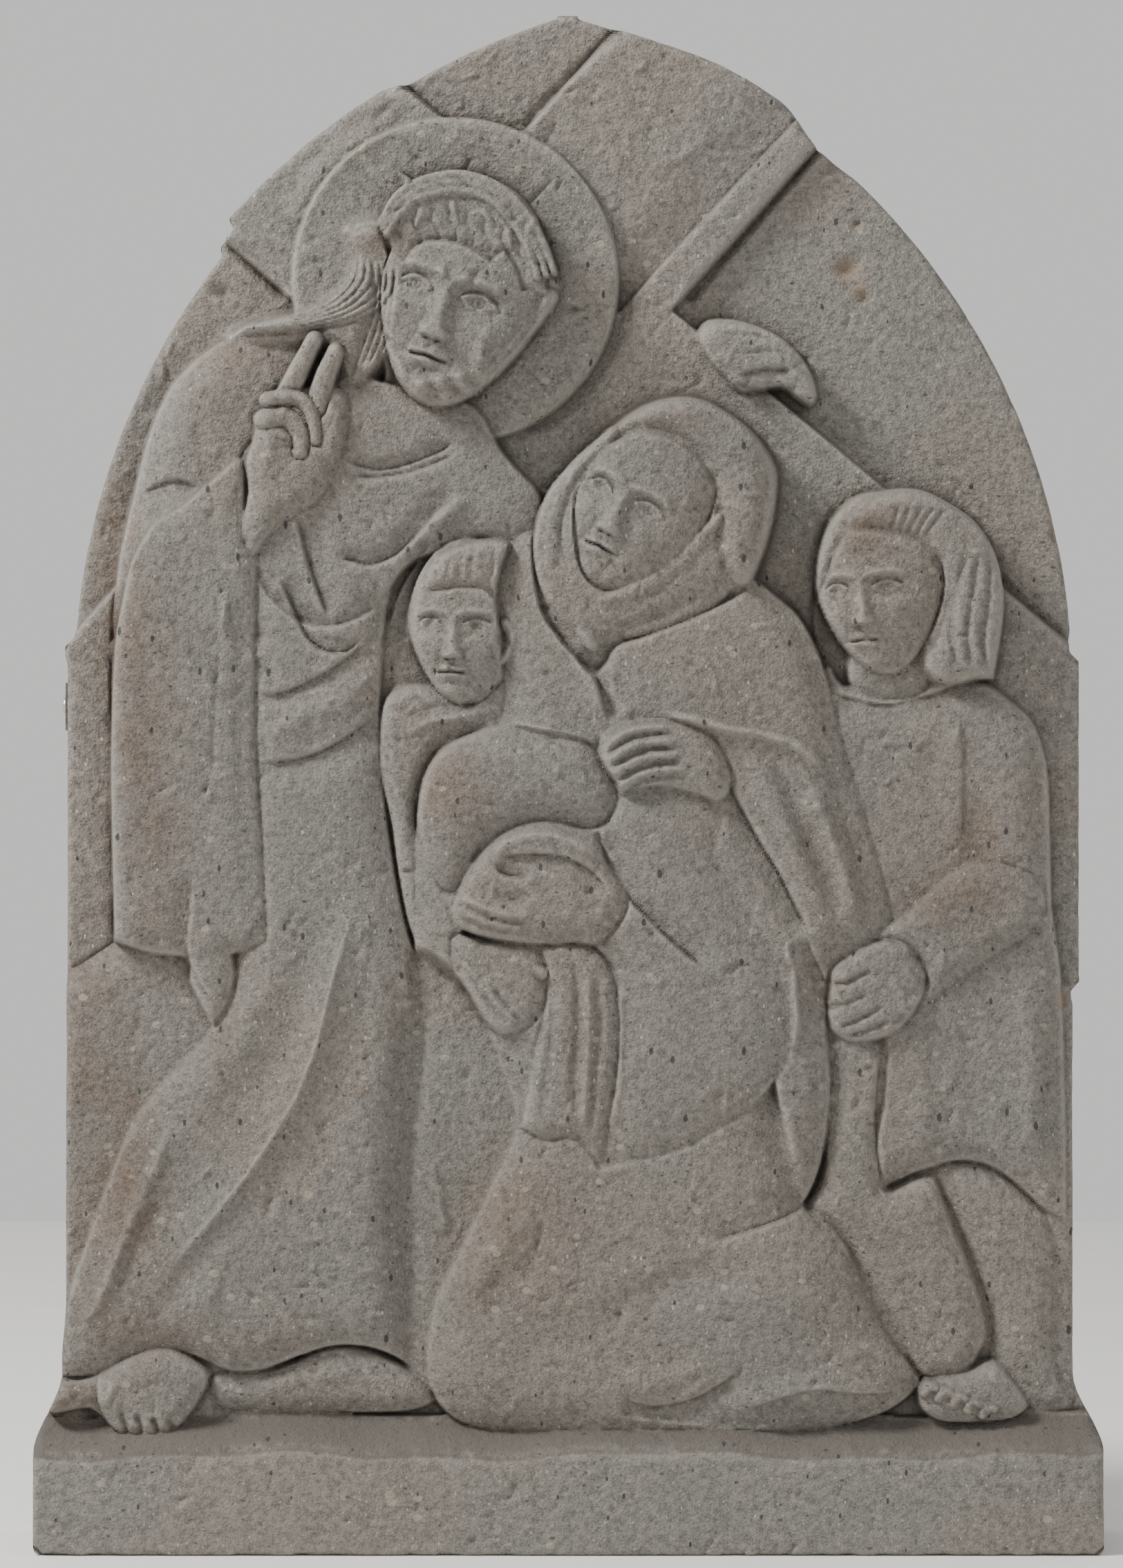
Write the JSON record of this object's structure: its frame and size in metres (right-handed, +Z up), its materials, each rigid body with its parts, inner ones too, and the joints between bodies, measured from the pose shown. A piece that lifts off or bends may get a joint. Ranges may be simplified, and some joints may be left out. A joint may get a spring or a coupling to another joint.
{
  "type": "carved relief panel",
  "caption": "Pointed-arch stone relief panel with carved standing, kneeling and bowing figures on a projecting ledge base, held to a wall by a steel tie.",
  "frame": {"origin": "middle of the underside of the block", "axes": "+Z up towards the point of the arch, +Y out of the flat back towards the wall, the carving faces -Y"},
  "size_m": [0.6152, 0.1203, 0.89],
  "materials": {
    "tuff": "carved, matt and dusty",
    "dull_steel": "dull, darkened",
    "bright_steel": "bright zinc"
  },
  "bodies": {
    "root": {"carved_relief_stone": "tuff", "wall_tie_strap": "dull_steel", "wall_tie_screw": "bright_steel"}
  },
  "joints": []
}
